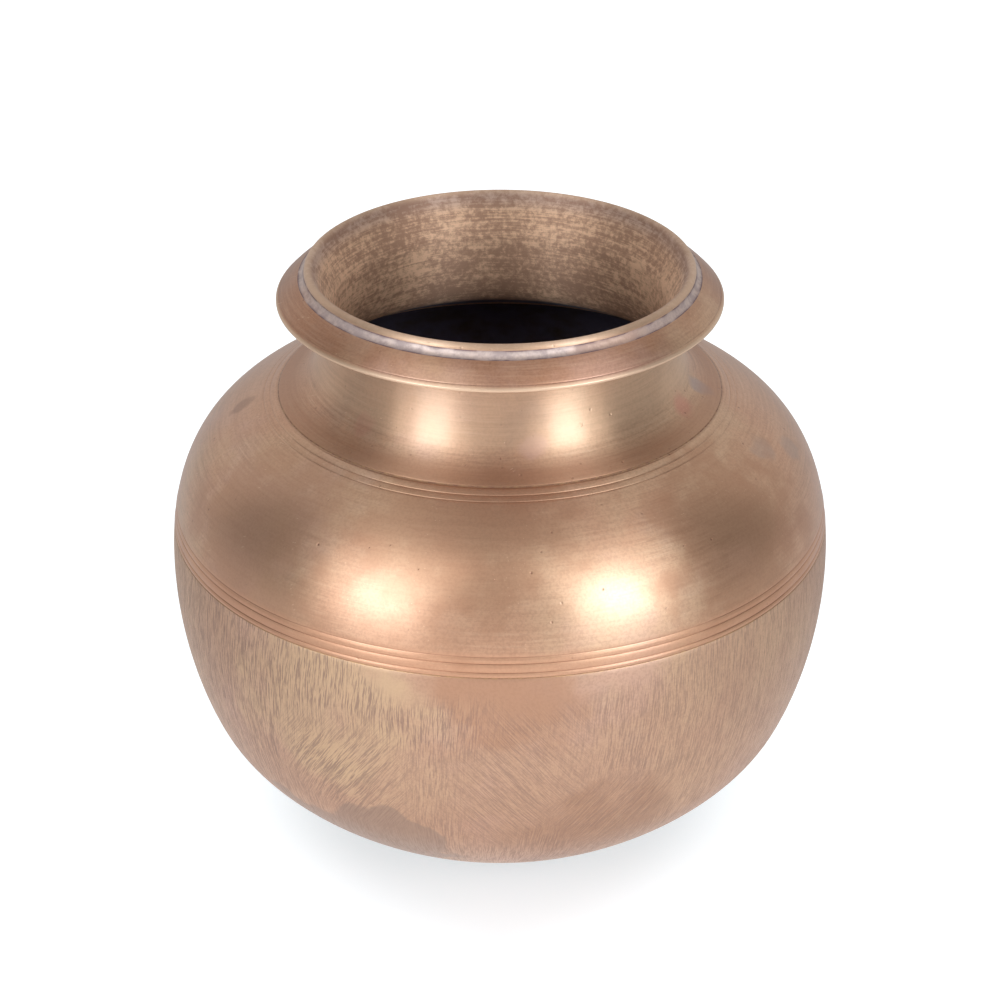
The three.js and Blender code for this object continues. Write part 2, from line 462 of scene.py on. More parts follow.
def lip_inside():
    """The inside of the flare. The wall thins towards the lip, so this is a plain cone."""
    foot_run = throat.crossing(1, CONE_FOOT.y)
    foot = throat.place(foot_run, WALL)
    spots = []
    for i in range(FLARE_STEPS):
        point = LIP_INSIDE.lerp(foot, i / FLARE_STEPS)
        run = throat.length + (foot_run - throat.length) * i / FLARE_STEPS
        spots.append(Spot(point.x, point.y, run, 1.0, 0.2 if i == 0 else 0.0))
    return spots + hidden_face(throat, foot_run, 0, WALL, 0.9 * MM)


turned_neck = turned_piece("turned_neck", "neck", [
    *outer_face(throat, 0, throat.length, throat_scores, 0.9 * MM),
    *lip_crown(),
    *lip_inside(),
    *hidden_face(body, 0, neck_tip, WALL),
    *neck_tongue[::-1],
    neck_shelf,
])

# %% [markdown]
# ## Rim collar
#
# A heavy ring is turned to slide over the neck. Its top falls away in a gentle curve to a
# sharp outer edge, and its underside runs back to the neck. Its bore and the neck's cone are
# parallel, a third of a millimetre apart. A fine line is turned just above the edge.

# %% Rim collar
SLEEVE = 0.3 * MM
collar_low, collar_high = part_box("rim_collar")
COLLAR_EDGE = Vector((collar_high.x, 146.5 * MM))
COLLAR_TOP = Vector((49.9 * MM, collar_high.z))
EDGE_HALF = 0.45 * MM
EDGE_ROUND = 0.3 * MM
SEAT_Z = 150.2 * MM
collar_line = Score(1.0 * MM, 0.4 * MM, 0.05 * MM, 0.3)


def cone_point(z, out=0.0):
    share = (z - CONE_FOOT.y) / (LIP_EDGE.y - CONE_FOOT.y)
    return Vector((CONE_FOOT.x + share * (LIP_EDGE.x - CONE_FOOT.x) + out, z))


def arc(centre, radius, start, end, count):
    """Points of a round corner, between two directions given in degrees."""
    turns = [start + (end - start) * i / count for i in range(count + 1)]
    return [centre + direction(turn) * radius for turn in turns]


def collar_section():
    edge_top = COLLAR_EDGE + Vector((-EDGE_ROUND, EDGE_HALF - EDGE_ROUND))
    edge_bottom = COLLAR_EDGE + Vector((-EDGE_ROUND, EDGE_ROUND - EDGE_HALF))
    nose = arc(edge_top, EDGE_ROUND, 48, 0, 4) + arc(edge_bottom, EDGE_ROUND, 0, -80, 5)
    top = Outline(sweep(nose[0], 132, 1.9 * MM, COLLAR_TOP, -34, 2.2 * MM), metal_side=-1)
    bore_foot = cone_point(collar_low.z, SLEEVE)
    under = Outline(sweep(nose[-1], 192, 2.6 * MM, bore_foot, 2, 2.2 * MM), metal_side=1)
    spots = []
    for run in stations(0, top.length, 0.5 * MM, [collar_line]):
        depth, dirt = tool_at(run, [collar_line])
        point = top.place(run, depth)
        # Rubbed edge with a painted highlight: the top is lightened in its last 0.7 mm to the
        # edge.
        edge_wear_and_glint = max(0.0, 1 - run / (0.7 * MM))
        spots.append(Spot(point.x, point.y, run, 0.0, edge_wear_and_glint, dirt))
    spots.reverse()
    # The edge's nose: rubbed, and lightened all round as a painted highlight.
    spots += [Spot(p.x, p.y, 0.0, 0.0, 1.0) for p in nose[1:-1]]
    for run in stations(0, under.length, 0.9 * MM):
        point = under.place(run)
        # Under the collar: a painted floor reflection lightens the wall next to the edge, and
        # painted shade darkens it more and more towards the neck.
        shade = run / under.length
        spots.append(Spot(point.x, point.y, -run, 0.0, max(0.0, 0.6 - 3 * shade), shade))
    seat = cone_point(SEAT_Z, SLEEVE)
    return spots + [Spot(seat.x, seat.y, 0.0, 0.0, 0.0, 1.0)]


collar_ring = turned_piece("collar_ring", "rim_collar", collar_section())

# %% [markdown]
# ## Solder round the rim
#
# Soft solder was run into the gap between collar and neck and wiped at the top, where it
# shows as a pale ring. A wiped ring is never quite even, so after the spin its top face is
# stirred a little: a displace modifier pushes only the seen band, by a slow cloud pattern.

# %% Rim solder
BAND_DIP = 0.25 * MM
BAND_STEPS = 8
SOLDER_STIR = 0.22 * MM


def solder_section():
    foot = cone_point(collar_low.z)
    way = COLLAR_TOP - LIP_EDGE
    into = Vector((way.y, -way.x)).normalized()
    band = []
    for i in range(BAND_STEPS + 1):
        share = i / BAND_STEPS
        point = LIP_EDGE.lerp(COLLAR_TOP, share) + into * BAND_DIP * math.sin(math.pi * share)
        dirt = max(share**8, (1 - share)**9)
        band.append(Spot(point.x, point.y, share * way.length, 0.0, 0.0, dirt))
    seat = cone_point(SEAT_Z, SLEEVE)
    bore = cone_point(collar_low.z, SLEEVE)
    lower = [Spot(p.x, p.y, 0.0, 0.0, 0.0, 1.0) for p in (seat, bore)]
    return [Spot(foot.x, foot.y, 0.0, 0.0, 0.0, 1.0), *band, *lower]


def stir_band(piece):
    """Makes the wiped band uneven, and leaves its two edges and the hidden sleeve alone."""
    seen = piece.vertex_groups.new(name="band")
    way = COLLAR_TOP - LIP_EDGE
    for vertex in piece.data.vertices:
        radius = math.hypot(vertex.co.x, vertex.co.y)
        share = (radius - LIP_EDGE.x) / way.x
        if vertex.co.z > COLLAR_TOP.y and 0 < share < 1:
            seen.add([vertex.index], math.sin(math.pi * share), "REPLACE")
    clouds = bpy.data.textures.new("wiped_solder", "CLOUDS")
    clouds.noise_scale = 5 * MM
    stir = piece.modifiers.new("stir", "DISPLACE")
    stir.texture = clouds
    stir.texture_coords = "GLOBAL"
    stir.strength = -SOLDER_STIR
    stir.mid_level = 0.25
    stir.vertex_group = seen.name
    deselect_all()
    piece.select_set(True)
    bpy.context.view_layer.objects.active = piece
    bpy.ops.object.modifier_apply(modifier=stir.name)


solder_ring = turned_piece("solder_ring", "rim_solder", solder_section(), turns=360)
stir_band(solder_ring)

# %% [markdown]
# ## Brazed films
#
# Each braze fills its lap joint from the outside hairline to the inside one, so its section
# is a thin Z. The outside edge follows the same groove as its neighbours, and shows as a
# golden hair at the bottom of that groove.

# %% Brazes
belly_film = turned_piece("belly_film", "belly_braze", [
    *outer_face(body, seam_below, seam_above, body_scores, FILM),
    *belly_skirt,
    wall_spot(body, skirt_root, WALL),
    wall_spot(body, tongue_tip, WALL),
    *belly_tongue[::-1],
])

neck_edge = body.place(0, tool_at(0, body_scores)[0])
start_edge = throat.place(0, tool_at(0, throat_scores)[0])
neck_film = turned_piece("neck_film", "neck_braze", [
    Spot(start_edge.x, start_edge.y, 0.0, 0.0, 0.0, 1.0),
    neck_shelf,
    *neck_tongue,
    wall_spot(body, neck_tip, WALL),
    wall_spot(body, neck_root, WALL),
    *neck_skirt[::-1],
    Spot(neck_edge.x, neck_edge.y, 0.0, 0.0, 0.0, 1.0),
])

# %% [markdown]
# ## Laying out nodes
#
# A finish is a net of small steps: noise, a threshold, a mix. Placing each by hand fills
# pages, so a short helper adds a node, sets it, and plugs in whatever it is given: a socket is
# linked, and a plain number or colour is typed in.

# %% Node helper
class Bench:
    """Adds nodes to one node tree."""

    def __init__(self, tree):
        self.tree = tree

    def add(self, kind, output=0, inputs=None, **settings):
        node = self.tree.nodes.new(kind)
        for key, value in settings.items():
            setattr(node, key, value)
        for key, value in (inputs or {}).items():
            self.plug(node.inputs[key], value)
        return node.outputs[output]

    def plug(self, socket, value):
        if isinstance(value, bpy.types.NodeSocket):
            self.tree.links.new(value, socket)
        else:
            socket.default_value = value

    def math(self, operation, a, b=0.0, clamp=False):
        return self.add("ShaderNodeMath", inputs={0: a, 1: b}, operation=operation,
                        use_clamp=clamp)

    def ramp(self, value, start, end, low=0.0, high=1.0):
        """Smoothly from low to high while the value goes from start to end."""
        return self.add("ShaderNodeMapRange", interpolation_type="SMOOTHSTEP", inputs={
            "Value": value, "From Min": start, "From Max": end, "To Min": low, "To Max": high})

    def mix(self, share, a, b):
        """Colour a where the share is 0, and colour b where it is 1."""
        node = self.tree.nodes.new("ShaderNodeMix")
        node.data_type = "RGBA"
        for index, value in ((0, share), (6, a), (7, b)):
            self.plug(node.inputs[index], value)
        return node.outputs[2]

    def noise(self, vector, scale=1.0, detail=2.0, roughness=0.5):
        return self.add("ShaderNodeTexNoise", inputs={
            "Vector": vector, "Scale": scale, "Detail": detail, "Roughness": roughness})

    def over(self, colour, tint, mask, strength):
        """The colour, with a tint laid over it where the mask is, at most to the strength."""
        return self.mix(self.math("MULTIPLY", mask, strength), colour, tint)

    def blend(self, share, a, b):
        """Number a where the share is 0, and number b where it is 1."""
        left = self.math("MULTIPLY", a, self.math("SUBTRACT", 1.0, share))
        return self.math("ADD", left, self.math("MULTIPLY", b, share))

    def parts(self, vector):
        """The x, y and z of a vector."""
        split = self.tree.nodes.new("ShaderNodeSeparateXYZ")
        self.plug(split.inputs[0], vector)
        return split.outputs

    def place(self):
        return self.add("ShaderNodeTexCoord", "Object")

    def note(self, field):
        return self.add("ShaderNodeAttribute", "Fac", attribute_name=field)

    def along_wall(self):
        return self.note("run")

    def group(self, shared, output, **values):
        node = self.tree.nodes.new("ShaderNodeGroup")
        node.node_tree = shared
        for key, value in values.items():
            self.plug(node.inputs[key], value)
        return node.outputs[output]


def shared_effect(name, inputs, outputs, build):
    """A node group: named inputs with their defaults, named outputs, and what joins them."""
    tree = bpy.data.node_groups.new(name, "ShaderNodeTree")
    for label, default in inputs.items():
        kind = "NodeSocketVector" if isinstance(default, tuple) else "NodeSocketFloat"
        socket = tree.interface.new_socket(label, in_out="INPUT", socket_type=kind)
        socket.default_value = default
    for label in outputs:
        tree.interface.new_socket(label, in_out="OUTPUT", socket_type="NodeSocketFloat")
    bench = Bench(tree)
    given = tree.nodes.new("NodeGroupInput")
    result = tree.nodes.new("NodeGroupOutput")
    for label, value in build(bench, given.outputs).items():
        bench.plug(result.inputs[label], value)
    print("effect", name, "made of", len(tree.nodes), "nodes")
    return tree


# %% [markdown]
# ## Turning rings
#
# A tool that rests against spinning metal leaves rings, some fine as hair, some a millimetre
# wide, and polishing breaks them into arcs. A wave texture would be too even. Here noise is
# read in stretched coordinates: slowly round the pot, and quickly along the wall. The two
# numbers of each kind of ring say how quickly, in steps to a metre. The stored distance along
# the wall keeps the rings evenly spaced where the shoulder is nearly level.

# %% Turning rings
BROAD_RINGS = (40, 1300)
FINE_RINGS = (200, 3700)


def build_rings(bench, given):
    place = bench.parts(bench.place())
    rings = []
    for round_scale, wall_scale in (BROAD_RINGS, FINE_RINGS):
        across = bench.math("MULTIPLY", bench.along_wall(), wall_scale)
        x = bench.math("MULTIPLY", place[0], round_scale)
        y = bench.math("MULTIPLY", place[1], round_scale)
        where = bench.add("ShaderNodeCombineXYZ", inputs={0: x, 1: y, 2: across})
        rings.append(bench.noise(where, 1.0, 1.0))
    total = bench.math("ADD", bench.math("MULTIPLY", rings[0], 0.55),
                       bench.math("MULTIPLY", rings[1], 0.45))
    patches = bench.noise(bench.place(), 22.0, 2.0)
    held = bench.ramp(patches, 0.35, 0.62, 0.35, 1.0)
    height = bench.math("MULTIPLY", bench.math("SUBTRACT", total, 0.5), held)
    streak = bench.math("MULTIPLY", height, given["Contrast"])
    return {"Height": height, "Streak": streak}


turning_rings = shared_effect(
    "turning_rings", {"Contrast": 2.0}, ["Height", "Streak"], build_rings)

# %% [markdown]
# ## Age bloom
#
# Old brass is never one colour. Handling keeps it golden, damp turns it pink as zinc leaves
# the surface, and grime dulls it. Three slow cloud patterns, each with its own seed, say how
# far each has gone at a place.

# %% Age bloom
def build_bloom(bench, given):
    masks = {}
    for label, seed, scale, start, end in (
        ("Golden", 3.1, 16.0, 0.46, 0.66),
        ("Pink", 7.7, 24.0, 0.50, 0.70),
        ("Dull", 12.4, 34.0, 0.52, 0.74),
    ):
        where = bench.add("ShaderNodeVectorMath", operation="ADD", inputs={
            0: bench.place(), 1: (seed, seed, seed)})
        clouds = bench.noise(where, scale, 5.0, 0.6)
        masks[label] = bench.math("MULTIPLY", bench.ramp(clouds, start, end), given["Amount"])
    return masks


age_bloom = shared_effect(
    "age_bloom", {"Amount": 1.0}, ["Golden", "Pink", "Dull"], build_bloom)

# %% [markdown]
# ## Pits and scratches
#
# Castings keep tiny holes, and use adds scratches. Both are cells: a pit is the core of a
# round cell, and a scratch is the core of a cell that is stretched to a needle and turned.
# Only the cells whose random value is high enough count, which sets how many there are.

# %% Pits and scratches
def cell_cores(bench, where, core, share):
    """1 at the core of some cells, where the share says how many."""
    cells = bench.tree.nodes.new("ShaderNodeTexVoronoi")
    bench.plug(cells.inputs["Vector"], where)
    cells.inputs["Scale"].default_value = 1.0
    cells.inputs["Randomness"].default_value = 1.0
    chosen = bench.math("LESS_THAN", bench.add(
        "ShaderNodeSeparateColor", inputs={0: cells.outputs["Color"]}), share)
    near = bench.ramp(cells.outputs["Distance"], core, 0.0)
    return bench.math("MULTIPLY", near, chosen)


def build_pits(bench, given):
    where = bench.add("ShaderNodeVectorMath", operation="SCALE", inputs={
        0: bench.place(), "Scale": given["Closeness"]})
    return {"Pit": cell_cores(bench, where, 0.2, given["Share"])}


def build_scratches(bench, given):
    turned = bench.add("ShaderNodeVectorRotate", rotation_type="EULER_XYZ", inputs={
        "Vector": bench.place(), "Rotation": given["Turn"]})
    where = bench.add("ShaderNodeVectorMath", operation="MULTIPLY", inputs={
        0: turned, 1: given["Closeness"]})
    return {"Scratch": cell_cores(bench, where, 0.22, given["Share"])}


casting_pits = shared_effect(
    "casting_pits", {"Closeness": 420.0, "Share": 0.12}, ["Pit"], build_pits)
stray_scratches = shared_effect(
    "stray_scratches",
    {"Turn": (0.0, 0.0, 0.0), "Closeness": (60.0, 900.0, 900.0), "Share": 0.2},
    ["Scratch"], build_scratches)

# %% [markdown]
# ## File cuts
#
# The bowl was dressed with short strokes of a file, about a third of a millimetre wide and a
# few millimetres long, so close that they cross. The place on the wall is laid out flat first:
# round the pot on a circle, and along the wall by the stored distance. Turning that circle in
# step with the distance slants the strokes. Noise that is read quickly across a stroke and
# slowly along it gives long ridges, and its low places are the cuts. A broader copy of the
# same noise gathers the strokes into bundles, and a slow wobble keeps them from being ruled.

# %% File cuts
def build_file_cuts(bench, given):
    place = bench.parts(bench.place())
    level = bench.add("ShaderNodeCombineXYZ", inputs={0: place[0], 1: place[1]})
    ring = bench.add("ShaderNodeVectorMath", operation="NORMALIZE", inputs={0: level})
    turn = bench.math("MULTIPLY", bench.along_wall(), bench.math(
        "DIVIDE", bench.math("TANGENT", given["Slant"]), BELLY.x))
    wobble = bench.math("MULTIPLY", bench.math(
        "SUBTRACT", bench.noise(bench.place(), 90.0, 0.0), 0.5), 0.012)
    slanted = bench.add("ShaderNodeVectorRotate", rotation_type="Z_AXIS", inputs={
        "Vector": ring, "Angle": bench.math("ADD", turn, wobble)})
    apart = bench.add("ShaderNodeVectorMath", operation="SCALE", inputs={
        0: slanted, "Scale": bench.math("DIVIDE", BELLY.x, given["Width"])})
    down = bench.math("DIVIDE", bench.along_wall(), given["Length"])
    lift = bench.add("ShaderNodeCombineXYZ", inputs={2: down})
    where = bench.add("ShaderNodeVectorMath", operation="ADD", inputs={0: apart, 1: lift})
    fine = bench.noise(where, 1.0, 1.0, 0.5)
    broad = bench.noise(where, 0.4, 0.0)
    ridges = bench.math("ADD", bench.math("MULTIPLY", fine, 0.6),
                        bench.math("MULTIPLY", broad, 0.4))
    return {
        "Cut": bench.ramp(ridges, 0.51, 0.43),
        "Ridge": bench.math("SUBTRACT", ridges, 0.5),
    }


file_cuts = shared_effect(
    "file_cuts", {"Slant": 0.0, "Width": 0.14 * MM, "Length": 2.6 * MM},
    ["Cut", "Ridge"], build_file_cuts)

# %% [markdown]
# ## Marks at a place
#
# Some marks belong to one spot of this pot, such as a copper-pink bloom beside the neck's
# joint. A mark is a soft ball round a stated point. The point is found on the wall from its
# bearing, counted from the front, and its distance along the wall, and noise tears the edge.

# %% Marks at a place
def build_mark(bench, given):
    torn = bench.add("ShaderNodeTexNoise", "Color", inputs={
        "Vector": bench.place(), "Scale": given["Tear"], "Detail": 4.0})
    shift = bench.add("ShaderNodeVectorMath", operation="SUBTRACT", inputs={
        0: torn, 1: (0.5, 0.5, 0.5)})
    push = bench.add("ShaderNodeVectorMath", operation="SCALE", inputs={
        0: shift, "Scale": bench.math("MULTIPLY", given["Reach"], 1.6)})
    where = bench.add("ShaderNodeVectorMath", operation="ADD", inputs={
        0: bench.place(), 1: push})
    away = bench.add("ShaderNodeVectorMath", "Value", operation="DISTANCE", inputs={
        0: where, 1: given["Centre"]})
    share = bench.math("DIVIDE", away, given["Reach"])
    return {"Mark": bench.ramp(share, 1.0, 0.45)}


place_mark = shared_effect(
    "place_mark", {"Centre": (0.0, 0.0, 0.0), "Reach": 0.01, "Tear": 120.0},
    ["Mark"], build_mark)


def on_wall(outline, run, bearing):
    """A point on a wall's outside, at a bearing in degrees to the right of the front."""
    point = outline.place(run)
    turn = math.radians(bearing)
    return (point.x * math.sin(turn), -point.x * math.cos(turn), point.y)


print("a mark 10 mm down the shoulder, at the front:",
      [round(c / MM, 1) for c in on_wall(body, 10 * MM, 0)], "mm")

# %% [markdown]
# ## Colours of old brass
#
# Bare metal has no paint colour: its base colour is how much red, green and blue it mirrors.
# Every finish on the pot is mixed from this list, which keeps the pieces related: the brasses
# first, then what damp, handling and dirt make of them, and the painted shades for the inside
# and under the collar, then the solder and the braze. Old brass also wears a thin dull skin that
# scatters some light, so each shader is a little less than all metal. That skin is what shows in
# the corners where there is nothing to mirror.

# %% Colours
GOLDEN = (0.60, 0.40, 0.26, 1)
GILT = (0.62, 0.43, 0.26, 1)
BRIGHT = (0.78, 0.57, 0.40, 1)
PALE_BRASS = (0.74, 0.52, 0.35, 1)
INNER_GOLD = (0.74, 0.475, 0.31, 1)
BROWN = (0.56, 0.322, 0.207, 1)
BOWL_BROWN = (0.51, 0.315, 0.215, 1)
UMBER = (0.46, 0.255, 0.16, 1)
TAN = (0.41, 0.21, 0.125, 1)
CHESTNUT = (0.34, 0.18, 0.11, 1)
ORANGE = (0.58, 0.30, 0.18, 1)
PINK = (0.58, 0.36, 0.285, 1)
COPPER = (0.56, 0.24, 0.18, 1)
LILAC = (0.36, 0.285, 0.28, 1)
DULL = (0.40, 0.28, 0.225, 1)
STROKE = (0.28, 0.18, 0.14, 1)
GREY_STAIN = (0.31, 0.205, 0.155, 1)
SPECKLE = (0.32, 0.175, 0.115, 1)
# Dirt, and also the painted shade under the collar.
DIRT_AND_SHADE = (0.17, 0.08, 0.052, 1)
# Painted shade for the dark inside of the pot, with a darker mottle.
INSIDE_SHADE = (0.15, 0.12, 0.17, 1)
DEEP_INSIDE_SHADE = (0.11, 0.075, 0.055, 1)
LEAD = (0.58, 0.455, 0.40, 1)
DULL_LEAD = (0.42, 0.33, 0.31, 1)
LEAD_DIRT = (0.17, 0.11, 0.115, 1)
SPELTER = (0.58, 0.36, 0.18, 1)
METAL_SHARE = 0.84


def new_finish(name):
    """An empty material with one metal shader, and a bench to lay out its nodes."""
    material = bpy.data.materials.new(name)
    material.use_nodes = True
    shader = material.node_tree.nodes["Principled BSDF"]
    shader.inputs["Metallic"].default_value = METAL_SHARE
    return material, Bench(material.node_tree), shader


def give(piece, material):
    piece.data.materials.clear()
    piece.data.materials.append(material)
    print(piece.name, "gets", material.name)


def aged_brass(bench, base):
    """The metal's own colour, with golden, pink and dull clouds and a fine grit over it."""
    bloom = {label: bench.group(age_bloom, label, Amount=1.0)
             for label in ("Golden", "Pink", "Dull")}
    colour = bench.over(base, GOLDEN, bloom["Golden"], 0.75)
    colour = bench.over(colour, PINK, bloom["Pink"], 0.5)
    colour = bench.over(colour, DULL, bloom["Dull"], 0.4)
    grit = bench.ramp(bench.noise(bench.place(), 1500.0, 2.0, 0.6), 0.58, 0.36, 0.0, 0.16)
    colour = bench.mix(grit, colour, DIRT_AND_SHADE)
    return colour, bloom


def bump(bench, shader, *layers):
    """Adds up height layers, each (height, depth in metres), and tilts the normal by them."""
    total = 0.0
    for height, depth in layers:
        total = bench.math("ADD", total, bench.math("MULTIPLY", height, depth))
    normal = bench.add("ShaderNodeBump", inputs={
        "Height": total, "Distance": 1.0, "Strength": 1.0})
    bench.plug(shader.inputs["Normal"], normal)


# %% [markdown]
# ## Turned brass
#
# Shoulder, neck and collar share one way of finishing: aged brass, turning rings that both
# dent the surface and streak its colour, pits, scratches and nicks, dirt in the grooves and
# painted shade under the collar, light on the rubbed edges, and a painted highlight along the
# collar's edge with a painted floor reflection under it. Each piece has its own amounts, so the
# function takes them as values, and a second function may tarnish the piece and paint shade on
# it in its own way.
#
# The highlight of a turned surface is drawn out across the rings, so the shader gets some
# anisotropy. Its tangent runs round the axis, and a quarter turn sets it across the rings.

# %% Turned brass
def scuff(bench, colour, pits, nicks):
    """Lays pits, hair scratches and short nicks over a colour, and gives their hollows."""
    pit = bench.group(casting_pits, "Pit", Share=pits)
    hair = bench.group(stray_scratches, "Scratch", Turn=(0.5, 0.2, 0.9),
                       Closeness=(70.0, 1500.0, 1500.0), Share=0.1)
    nick = bench.group(stray_scratches, "Scratch", Turn=(1.2, 0.8, 0.1),
                       Closeness=(300.0, 1300.0, 1300.0), Share=nicks)
    colour = bench.over(colour, DIRT_AND_SHADE, pit, 0.7)
    colour = bench.over(colour, BRIGHT, hair, 0.6)
    colour = bench.over(colour, DIRT_AND_SHADE, nick, 0.7)
    return colour, bench.math("MULTIPLY", bench.math("ADD", pit, nick), -1.0)


def draw_out_highlight(bench, shader, stretch):
    shader.inputs["Anisotropic"].default_value = stretch
    shader.inputs["Anisotropic Rotation"].default_value = 0.25
    tangent = bench.add("ShaderNodeTangent", direction_type="RADIAL", axis="Z")
    bench.plug(shader.inputs["Tangent"], tangent)


def turned_finish(name, roughness, ring_depth, marks=(), base=BROWN, tarnish_and_shade=None,
                  stretch=0.4, pits=0.05, nicks=0.02, contrast=1.1):
    material, bench, shader = new_finish(name)
    colour, bloom = aged_brass(bench, base)
    streak = bench.group(turning_rings, "Streak", Contrast=contrast)
    ring = bench.group(turning_rings, "Height")
    light = bench.math("MAXIMUM", streak, 0.0)
    dark = bench.math("MULTIPLY", bench.math("MINIMUM", streak, 0.0), -1.0)
    colour = bench.mix(light, colour, BRIGHT)
    colour = bench.mix(dark, colour, DIRT_AND_SHADE)
    for centre, reach, tint, share in marks:
        mark = bench.group(place_mark, "Mark", Centre=centre, Reach=reach)
        colour = bench.over(colour, tint, mark, share)
    colour, hollow = scuff(bench, colour, pits, nicks)
    # Rubbed edges are lightened; on the collar this includes a painted highlight on the edge and
    # a painted floor reflection under it.
    colour = bench.over(colour, BRIGHT, bench.note("worn"), 0.7)
    # Dirt darkens the grooves; under the collar the same darkening is painted shade.
    torn = bench.ramp(bench.noise(bench.place(), 160.0, 3.0), 0.3, 0.6, 0.45, 0.95)
    colour = bench.over(colour, DIRT_AND_SHADE, bench.note("grime"), torn)
    rough = bench.math("ADD", roughness, bench.math("MULTIPLY", bloom["Dull"], 0.12))
    rough = bench.math("ADD", rough, bench.math("MULTIPLY", streak, 0.12))
    # Tarnish, and painted shade inside the pot and at the neck's foot.
    if tarnish_and_shade:
        colour, rough = tarnish_and_shade(bench, colour, rough)
        metal = bench.ramp(bench.note("inside"), 0.0, 1.0, METAL_SHARE, 0.55)
        bench.plug(shader.inputs["Metallic"], metal)
    bench.plug(shader.inputs["Base Color"], colour)
    bench.plug(shader.inputs["Roughness"], rough)
    draw_out_highlight(bench, shader, stretch)
    swell = bench.noise(bench.place(), 28.0, 2.0)
    dents = bench.noise(bench.place(), 85.0, 1.0)
    bump(bench, shader, (swell, 0.35 * MM), (dents, 0.07 * MM), (ring, ring_depth),
         (hollow, 0.05 * MM))
    return material


print("the finest turning rings are about", round(1 / FINE_RINGS[1] / MM, 2), "mm wide")

# %% [markdown]
# ## Tarnish, painted shade and marks of each piece
#
# The inside of the body lies in shade, and that shade is painted on as a near-black colour.
# In the neck the painted shade stops at the throat: above it the wall is golden with a brown
# speckle, and lilac close to the lip. Outside, the neck's wall is paler above the throat, and
# darker at its foot, which is painted shade on the flare. The strip with the belly's lines was
# never polished well, so it stays orange. The marks are spots and larger patches of tint, each
# with its place, its reach, its colour and its strength; the three large ones on the shoulder
# are painted shade.

# %% Tarnish, painted shade, marks, and the three turned pieces
def paint_inside_shade(bench, colour, rough):
    """Paints the inside near-black: painted shade, as the inside of the body lies in shade."""
    inside = bench.note("inside")
    spots = bench.ramp(bench.noise(bench.place(), 90.0, 3.0, 0.7), 0.35, 0.75)
    inside_shade_mottle = bench.mix(spots, INSIDE_SHADE, DEEP_INSIDE_SHADE)
    return bench.mix(inside, colour, inside_shade_mottle), bench.math(
        "ADD", rough, bench.math("MULTIPLY", inside, 0.3))


def shoulder_tarnish_and_shade(bench, colour, rough):
    """Warms the strip with the belly's lines, where polish never reached, to orange, and paints
    shade on the inside.
    """
    strip = bench.ramp(bench.along_wall(), seam_run - 7 * MM, seam_run - 4.5 * MM, 0.0, 0.5)
    return paint_inside_shade(bench, bench.mix(strip, colour, ORANGE), rough)


def neck_tarnish_and_shade(bench, colour, rough):
    """Mottles the inside: lilac at the lip, gold, then painted shade. Outside, pales the wall and
    paints shade at its foot.
    """
    inside = bench.note("inside")
    run = bench.along_wall()
    grain = bench.noise(bench.place(), 650.0, 3.0, 0.75)
    cloud = bench.noise(bench.place(), 60.0, 3.0, 0.6)
    rings = bench.group(turning_rings, "Height")
    speck = bench.math("ADD", grain, bench.math("ADD", bench.math("MULTIPLY", cloud, 0.6),
                                                bench.math("MULTIPLY", rings, 0.9)))
    lip = bench.ramp(run, throat.length - 5 * MM, throat.length, 0.0, 0.5)
    skin = bench.mix(lip, INNER_GOLD, LILAC)
    skin = bench.mix(bench.ramp(speck, 1.04, 0.66, 0.0, 0.8), skin, SPECKLE)
    # Painted shade: inside, below the throat, the wall goes near-black.
    skin = bench.mix(bench.ramp(run, 8 * MM, 3 * MM), skin, INSIDE_SHADE)
    paler = bench.ramp(run, 7 * MM, 14 * MM, 0.0, 0.4)
    colour = bench.mix(paler, colour, PALE_BRASS)
    # Painted shade on the flare at the neck's foot.
    colour = bench.mix(bench.ramp(run, 8 * MM, 3 * MM, 0.0, 0.6), colour, TAN)
    return bench.mix(inside, colour, skin), bench.math(
        "ADD", rough, bench.math("MULTIPLY", inside, 0.24))


shoulder_marks_and_shade = [
    (on_wall(body, 14 * MM, 71), 5 * MM, DULL, 0.5),
    (on_wall(body, 21 * MM, 80), 5 * MM, DULL, 0.5),
    (on_wall(body, 11 * MM, -88), 4 * MM, DIRT_AND_SHADE, 0.4),
    # Painted shade: broad darker patches on the shoulder's two sides and at its front top.
    (on_wall(body, 26 * MM, 50), 34 * MM, TAN, 0.6),
    (on_wall(body, 28 * MM, -50), 34 * MM, UMBER, 0.6),
    (on_wall(body, 10 * MM, -8), 34 * MM, TAN, 0.5),
]
neck_marks = [
    (on_wall(throat, 7 * MM, 65), 5 * MM, COPPER, 0.6),
    (on_wall(throat, 6 * MM, 82), 5 * MM, LILAC, 0.6),
    (on_wall(throat, 10 * MM, -43), 4 * MM, COPPER, 0.35),
    (on_wall(throat, 10 * MM, 10), 4 * MM, PINK, 0.6),
]

give(turned_shoulder, turned_finish(
    "turned_brass_shoulder", 0.33, 0.012 * MM, shoulder_marks_and_shade, tarnish_and_shade=shoulder_tarnish_and_shade,
    stretch=0.55))
give(turned_neck, turned_finish(
    "turned_brass_neck", 0.40, 0.018 * MM, neck_marks, tarnish_and_shade=neck_tarnish_and_shade, stretch=0.92,
    pits=0.25, nicks=0.07, contrast=1.7))
give(collar_ring, turned_finish(
    "turned_brass_collar", 0.38, 0.014 * MM, base=TAN, contrast=0.8))

